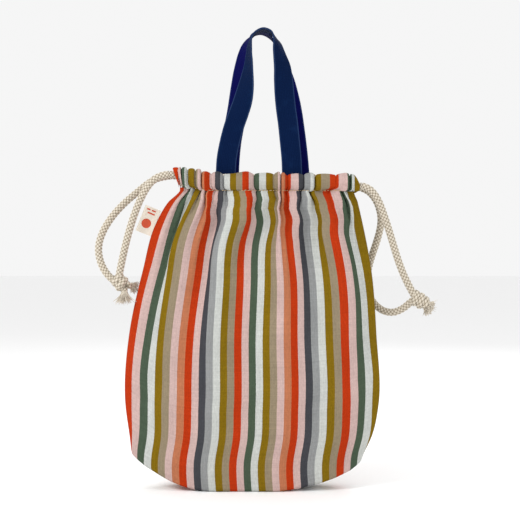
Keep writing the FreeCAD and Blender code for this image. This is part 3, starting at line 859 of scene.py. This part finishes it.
def make_stitches(panel, face, seam, side, word):
    """Running stitches of tan thread along the tunnel's foot."""
    pitch, length, radius = 0.0046 / PANEL_WIDTH, 0.0033 / PANEL_WIDTH, 0.00042
    start, stop = (U[TUNNEL_FIRST], 0.5) if side < 0 else (0.5, U[TUNNEL_LAST])
    bulge = np.sin(np.linspace(0.12, np.pi - 0.12, 7))
    parts = []
    for k in range(int((stop - start) / pitch)):
        at = start + pitch * (k + 0.3) + length * np.linspace(0, 1, len(bulge))
        line = np.stack([np.interp(at, U, seam[:, i]) for i in range(3)], axis=1)
        line[:, 1] += face * (0.00015 + 0.0005 * bulge)
        line[:, 2] += 0.0002 * math.sin(3.1 * k)
        parts.append(tube(line, radius * (0.45 + 0.55 * bulge), 8))
    piece = new_piece(f"{panel}_stitches_{word}", *joined(parts), material=TAN_THREAD)
    gathers(piece, f"{panel}_tunnel_stitching")


# Rings of a hem, which turns back inside: share of the way out, and size next to the tunnel's section.
HEM_RINGS = ((0.0, 1.06), (0.2, 1.10), (0.45, 1.10), (0.7, 1.07), (0.88, 1.02), (0.98, 0.96), (1.0, 0.92),
             (0.9, 0.88), (0.5, 0.86), (0.1, 0.86))


def hem_grid(face, x_in, x_out, slant, droop, lift):
    """A tunnel's folded end from x_in to x_out, with its foot slanting and its top drooping (mm)."""
    loop, axis = through(TUNNEL_LOOP, 4), np.array(TUNNEL_AXIS)
    waves = np.linspace(0, 9 * np.pi, len(loop))
    rows = []
    for x, size in HEM_RINGS:
        y, z = (axis + (loop - axis) * (size * (1 + 0.025 * np.sin(waves + 3 * x + face)))[:, None]).T
        lean = slant * x * foot_share(z) - 0.8 * max(droop, 0.0) * x * top_share(z)
        z = z - droop * (0.4 + 0.6 * x) * top_share(z) + lift
        rows.append(np.column_stack([x_in + (x_out - x_in) * x + lean, y * face, z]))
    return np.array(rows) * MM


def make_hems():
    """The tunnels' folded ends, where the cords come out."""
    left, right = (-90.0, -98.0, 8.0, -0.5, 0.95 * LEFT_LIFT), (125.0, 134.5, -1.0, 6.0, 0.0)
    for side, shape in ((-1, left), (1, right)):
        word, body, _ = MOUTH_ENDS[side]
        parts, uvs = [], []
        for face in (-1, 1):
            p = hem_grid(face, *shape)
            rows, around = p.shape[:2]
            edge = (U[TUNNEL_FIRST if side < 0 else TUNNEL_LAST] - 0.5) * PANEL_WIDTH
            across = edge + side * 0.0013 * np.arange(rows)[:, None]
            along = PANEL_HEIGHT - 0.06 + np.linspace(0, 0.062, around)
            parts.append((p.reshape(-1, 3), grid_faces(rows, around, closed=True)))
            uvs.append(np.stack(np.broadcast_arrays(across, along), axis=2).reshape(-1, 2))
        hem = new_piece(f"{word}_hem", *joined(parts), np.vstack(uvs), material=CANVAS)
        rides(hem, f"{word}_cord_exit_hem", body)


# --- Handles ---
def make_handle(name, route, material):
    """One strap of webbing from sewn end to sewn end, with beaded selvedges, and a little cupped."""
    rows = through(route, 10)
    centre, turn = rows[:, :3] * MM, np.radians(rows[:, 3])
    along, s = directions(centre), distances(centre)
    across = np.stack([np.cos(turn), -np.sin(turn), np.zeros_like(turn)], axis=1)
    across -= along * (across * along).sum(1, keepdims=True)
    across /= np.linalg.norm(across, axis=1, keepdims=True)
    through_cloth = np.cross(along, across)
    w = np.linspace(-1, 1, 29)
    edge = 1 - 0.75 * np.abs(w) ** 14
    bead = 1 + 0.35 * np.exp(-((np.abs(w) - 0.95) / 0.04) ** 2)
    half = WEBBING / 2 * np.sqrt(np.maximum(edge, 0.02)) * bead
    profile = np.vstack([np.column_stack([w, half]), np.column_stack([w[::-1], -half[::-1]])])
    points, uv = [], []
    for k, place in enumerate(centre):
        cup = 0.0005 * math.sin(40 * s[k] + 1.0) + 0.0006 * rough(s[k], 0.0, 0.0, 0.05, 4.0)
        for offset, thick in profile:
            sway = cup * (1 - 2 * offset * offset) + 0.0003 * rough(s[k], offset * 0.02, 0.0, 0.012, 9.0)
            points.append(place + across[k] * offset * WEBBING_WIDTH / 2 + through_cloth[k] * (thick + sway))
            uv.append((offset * WEBBING_WIDTH / 2, s[k]))
    n = len(profile)
    faces = list(grid_faces(len(centre), n, closed=True))
    faces.append(tuple(range(n))[::-1])
    faces.append(tuple(range((len(centre) - 1) * n, len(centre) * n)))
    strap = new_piece(name + "_strap", points, faces, uv, material=material)
    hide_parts(name, name + "_sewn_ends")
    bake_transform(strap)


# --- Cords ---
def nurbs_line(route):
    """Points along the smooth NURBS line that has the route as its control points."""
    curve = bpy.data.curves.new("route", "CURVE")
    curve.dimensions = "3D"
    spline = curve.splines.new("NURBS")
    spline.points.add(len(route) - 1)
    for point, place in zip(spline.points, route):
        point.co = (*(c * MM for c in place), 1.0)
    spline.order_u = 3
    spline.use_endpoint_u = True
    spline.resolution_u = 24
    holder = bpy.data.objects.new("route", curve)
    mesh = bpy.data.meshes.new_from_object(holder)
    line = np.array([v.co for v in mesh.vertices])
    bpy.data.meshes.remove(mesh)
    bpy.data.objects.remove(holder)
    bpy.data.curves.remove(curve)
    return line


def spaced(line):
    """The line with a point every CORD_STEP."""
    along = distances(line)
    at = np.linspace(0, along[-1], max(2, round(along[-1] / CORD_STEP) + 1))
    return np.stack([np.interp(at, along, line[:, k]) for k in range(3)], axis=1)


CORD_STEP, CORD_SIDES = 0.00055, 60     # the cords' mesh: distance between rings, and points in a ring
PLAITS, LAY = 5, 0.024                  # strands each way round the cord, length of one full turn
RELIEF = 0.0011                         # how far the braid's crowns stand up, about
STRAND_RADIUS = 0.0043                  # the free cord has puffed up a little


def braid_height(s, angle):
    """Height of a plain round braid from 0 in its grooves to 1 on its crowns."""
    a = PLAITS * (angle / (2 * np.pi) + s / LAY)
    b = PLAITS * (angle / (2 * np.pi) - s / LAY)
    rise_a = np.sqrt(np.clip(1 - (2 * (a - np.floor(a)) - 1) ** 2, 0, 1))
    rise_b = np.sqrt(np.clip(1 - (2 * (b - np.floor(b)) - 1) ** 2, 0, 1))
    weave_a = np.sin(np.pi * b) * np.where(np.floor(a) % 2 == 0, 1, -1)
    weave_b = -np.sin(np.pi * a) * np.where(np.floor(b) % 2 == 0, 1, -1)
    top = np.maximum(rise_a * (0.55 + 0.45 * weave_a), rise_b * (0.55 + 0.45 * weave_b))
    return np.clip(top, 0, 1)


def braided(line, radius):
    """Points, faces, uv and crown heights of a braided cord along a line."""
    line = spaced(line)
    s = distances(line)
    angle = 2 * np.pi * np.arange(CORD_SIDES) / CORD_SIDES
    crown = braid_height(s[:, None], angle)
    radii = radius - RELIEF * 0.8 + RELIEF * 1.3 * crown
    points, faces = tube(line, radii, CORD_SIDES, side_of(directions(line)[0], axis=1, limit=0.8))
    uv = np.stack(np.broadcast_arrays(s[:, None], angle * radius), axis=2).reshape(-1, 2)
    return points, faces, np.vstack([uv, [(0, 0), (s[-1], 0)]]), np.append(crown, [0.3, 0.3])


def cotton_piece(name, parts, node, body):
    """One piece of the cords' cotton, from parts (points, faces, uv, crown heights)."""
    points, faces = joined([part[:2] for part in parts])
    uv, crown = (np.concatenate([part[i] for part in parts]) for i in (2, 3))
    piece = new_piece(name, points, faces, uv, material=ROPE, values={"crown": crown})
    return rides(piece, node, body)


def make_strand(name, route, body):
    line = nurbs_line(route)
    piece = cotton_piece(name + "_rope", [braided(line, STRAND_RADIUS)], name, body)


def make_knot(name, middle, axis, start_turn, body):
    """A barrel-shaped overhand knot: the cord wrapped round its own two strands, a little unevenly."""
    half_turns, coil, pitch = 1.25, 5.9 * MM, 6.9 * MM
    turns = np.linspace(-half_turns, half_turns, 150)
    angle = 2 * np.pi * turns
    radius = coil * (1 - 0.28 * np.abs(turns / half_turns) ** 5) * (1 + 0.06 * np.sin(1.7 * angle + 1))
    climb = pitch * (turns + 0.12 * np.sin(angle))
    wrap = np.column_stack([radius * np.cos(angle), radius * np.sin(angle), climb])
    core = np.column_stack([0.8 * MM * np.sin(4 * turns), 0.8 * MM * np.cos(4 * turns), pitch * turns * 1.1])
    upright = Vector(axis).normalized().to_track_quat("Z", "Y").to_matrix()
    turned = upright @ Matrix.Rotation(start_turn, 3, "Z")
    lines = [np.array([turned @ Vector(p) for p in line]) + np.array(middle) * MM for line in (wrap, core)]
    return cotton_piece(name + "_tied", [braided(line, CORD / 2) for line in lines], name, body)


def make_tails(name, tails, body):
    """Two cut cord ends, each (start, direction, length of braid, length of fibres). The fibres fray out."""
    rng = np.random.default_rng(7)
    parts = []
    for start, towards, stub, fray in tails:
        start, towards = np.array(start) * MM, np.array(towards, float)
        towards /= np.linalg.norm(towards)
        end = start + towards * stub * MM
        parts.append(braided(np.array([start, (start + end) / 2, end]), CORD / 2 * 0.96))
        side = side_of(towards)
        side /= np.linalg.norm(side)
        up = np.cross(towards, side)
        for _ in range(230):
            angle, reach = rng.uniform(0, 2 * np.pi), math.sqrt(rng.uniform(0, 1)) * CORD / 2 * 0.9
            spread = side * math.cos(angle) + up * math.sin(angle)
            root = end - towards * 1.5 * MM + spread * reach
            long = fray * MM * rng.uniform(0.55, 1.05)
            open_out = rng.uniform(0.25, 1.15) * (reach / (CORD / 2)) + 0.05
            curl = (side * rng.uniform(-1, 1) + up * rng.uniform(-1, 1)) * 0.2
            q = np.linspace(0, 1, 6)[:, None]
            fibre = root + towards * long * q + (spread * open_out + curl) * long * q ** 1.8
            fibre = fibre + np.array([0, 0, -0.12]) * long * q ** 2
            points, faces = tube(fibre, np.linspace(0.00045, 0.0002, 6), 5)
            # The fibres take crown values near 1, the lit end of the cords' painted shade and highlight.
            parts.append((points, faces, points[:, :2] * 3, np.full(len(points), rng.uniform(0.78, 1.0))))
    return cotton_piece(name + "_frayed", parts, name, body)


def make_hidden_rope(word, body, far_body, exit_x, inward, far_x, height, rise, far_rise):
    """The cord inside the tunnels: two legs next to its exit, and its turn at the mouth's far end (mm).

    inward is the way from the exit to the mouth's middle. The rises lift the legs' outer ends and the turn.
    """
    y, bend = TUNNEL_AXIS[0], 9
    down = ((0, rise), (25, 0.6 * rise), (55, 0), (110, 0))
    leg = [(exit_x + inward * x, y, height + up) for x, up in down]
    legs = [braided(np.array(leg) * (1, side, 1) * MM, CORD / 2) for side in (-1, 1)]
    cotton_piece(f"{word}_cord_tunnel_legs_rope", legs, f"{word}_cord_tunnel_legs", body)
    quarter = [(far_x + inward * bend * math.sin(a), -y + bend * (1 - math.cos(a)), height + far_rise)
               for a in np.linspace(0, np.pi / 2, 9)]
    half = [(far_x - inward * 48, -y, height)] + quarter
    turn = np.array(half + [(x, -y, z) for x, y, z in reversed(half)]) * MM
    cotton_piece(f"{word}_cord_far_turn_rope", [braided(turn, CORD / 2)], f"{word}_cord_far_turn", far_body)


def make_cords():
    knots, tails = {}, {}
    for word, knot, ends in (
        ("left", ((-164.0, -3, 256), (0.66, -0.15, -0.72), 0.4),
         [((-159, -4, 249), (0.05, -0.2, -1), 6, 13), ((-157, 4, 253), (1, 1.0, -0.35), 8, 9)]),
        ("right", ((209.5, -2, 233.5), (0.84, -0.1, -0.54), 2.0),
         [((215, -4, 231), (0.9, -0.35, -0.5), 6, 8), ((215, 1, 228), (0.75, 0.4, -0.85), 6, 8)]),
    ):
        knots[word] = make_knot(f"{word}_cord_knot", *knot, f"{word}_drawcord")
        tails[word] = make_tails(f"{word}_cord_tails", ends, f"{word}_drawcord")
    for word, strand, route in (("left", "front", LEFT_FRONT_ROUTE), ("left", "back", LEFT_BACK_ROUTE),
                                ("right", "front", RIGHT_FRONT_ROUTE), ("right", "back", RIGHT_BACK_ROUTE)):
        make_strand(f"{word}_cord_{strand}_strand", route, f"{word}_drawcord")
    make_hidden_rope("left", "left_drawcord", "right_mouth_end", exit_x=-102.0, inward=1, far_x=118.0,
                     height=386.0, rise=4.0, far_rise=-2.0)
    make_hidden_rope("right", "right_drawcord", "left_mouth_end", exit_x=136.0, inward=-1, far_x=-76.0,
                     height=375.4, rise=0.0, far_rise=3.5)


# --- Label ---
LABEL_WIDTH, LABEL_THICK = 0.0185, 0.0007
LABEL_TOP, LABEL_FOOT = np.array([-115.2, 0.0, 345.9]) * MM, np.array([-128.1, 0.0, 314.0]) * MM
LABEL_HEIGHT = float(np.linalg.norm(LABEL_FOOT - LABEL_TOP))
LABEL_DOWN = (LABEL_FOOT - LABEL_TOP) / LABEL_HEIGHT
LABEL_OUT = np.array([LABEL_DOWN[2], 0.0, -LABEL_DOWN[0]])


def label_face(down, out):
    """How far the label's front face is from y = 0 at shares down its seam and out from it: ply and curl."""
    curl = 0.0012 * np.sin(2.2 * down + 0.4) * out + 0.0009 * out * out * np.cos(3.5 * down)
    return LABEL_THICK * np.sqrt(np.maximum(1 - out ** 6, 0.0)), curl


def make_label():
    """A folded woven label, a little curled, with a plain disc and dashes woven in red."""
    rows, cols = 36, 22
    a, b = np.meshgrid(np.linspace(0, 1, rows), np.linspace(0, 1, cols), indexing="ij")
    out = (b * LABEL_WIDTH - 0.002 * (1 - b))[..., None]        # its folded-in edge is inside the seam
    flat = LABEL_TOP + LABEL_DOWN * (a * LABEL_HEIGHT)[..., None] + LABEL_OUT * out
    ply, curl = label_face(a, b)
    plies, uvs = [], []
    for side in (-1, 1):
        p = flat.copy()
        p[..., 1] += side * ply - curl
        plies.append(p[:, ::-side])
        uvs.append(np.stack([b * LABEL_WIDTH, a * LABEL_HEIGHT], axis=2)[:, ::-side])
    p, uv = np.concatenate(plies, axis=1).reshape(-1, 3), np.concatenate(uvs, axis=1).reshape(-1, 2)
    label = new_piece("woven_label", p, grid_faces(rows, 2 * cols)[:, ::-1], uv, material=LABEL_CLOTH)
    rides(label, "side_label", "side_label")
    make_motif()


def make_motif():
    """The disc and the dashes, just above the label's front face. Their points are (down, out) in metres."""
    def raised(places):
        down, out = np.array(places).T
        p = LABEL_TOP + np.outer(down, LABEL_DOWN) + np.outer(out, LABEL_OUT)
        ply, curl = label_face(down / LABEL_HEIGHT, out / LABEL_WIDTH)
        p[:, 1] += -ply - curl - 0.00012
        return p

    rings, spokes, middle = 7, 40, np.array([LABEL_HEIGHT * 0.62, LABEL_WIDTH * 0.5])
    radius = 0.0060 * np.arange(1, rings + 1)[:, None] / rings
    angle = 2 * np.pi * np.arange(spokes) / spokes
    disc = np.stack([radius * np.sin(angle), radius * np.cos(angle)], axis=2).reshape(-1, 2)
    disc = np.vstack([[(0.0, 0.0)], disc])
    fan = [(0, 1 + (k + 1) % spokes, 1 + k) for k in range(spokes)]
    parts = [(raised(middle + disc), fan + list(grid_faces(rings, spokes, closed=True, start=1)))]
    uvs = [disc[:, ::-1]]
    for start, b0, b1 in ((0.08, 0.18, 0.48), (0.08, 0.58, 0.82), (0.20, 0.18, 0.70)):
        places = np.array([(LABEL_HEIGHT * a, LABEL_WIDTH * b)
                           for a in (start, start + 0.055) for b in np.linspace(b0, b1, 8)])
        parts.append((raised(places), grid_faces(2, 8)))
        uvs.append(places[:, ::-1])
    motif = new_piece("woven_motif", *joined(parts), np.vstack(uvs), material=LABEL_MOTIF)
    rides(motif, "side_label_motif", "side_label")


def repaint_bartacks():
    for name in ("front_handle_bartacks", "back_handle_bartacks"):
        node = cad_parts[name]
        node.data.materials.clear()
        node.data.materials.append(NAVY_THREAD)


make_camera()
make_stage()
make_cords()
make_cloth()
make_hems()
make_handle("front_handle", FRONT_STRAP, FRONT_WEBBING)
make_handle("back_handle", BACK_STRAP, SHADED_BACK_WEBBING)
make_label()
repaint_bartacks()
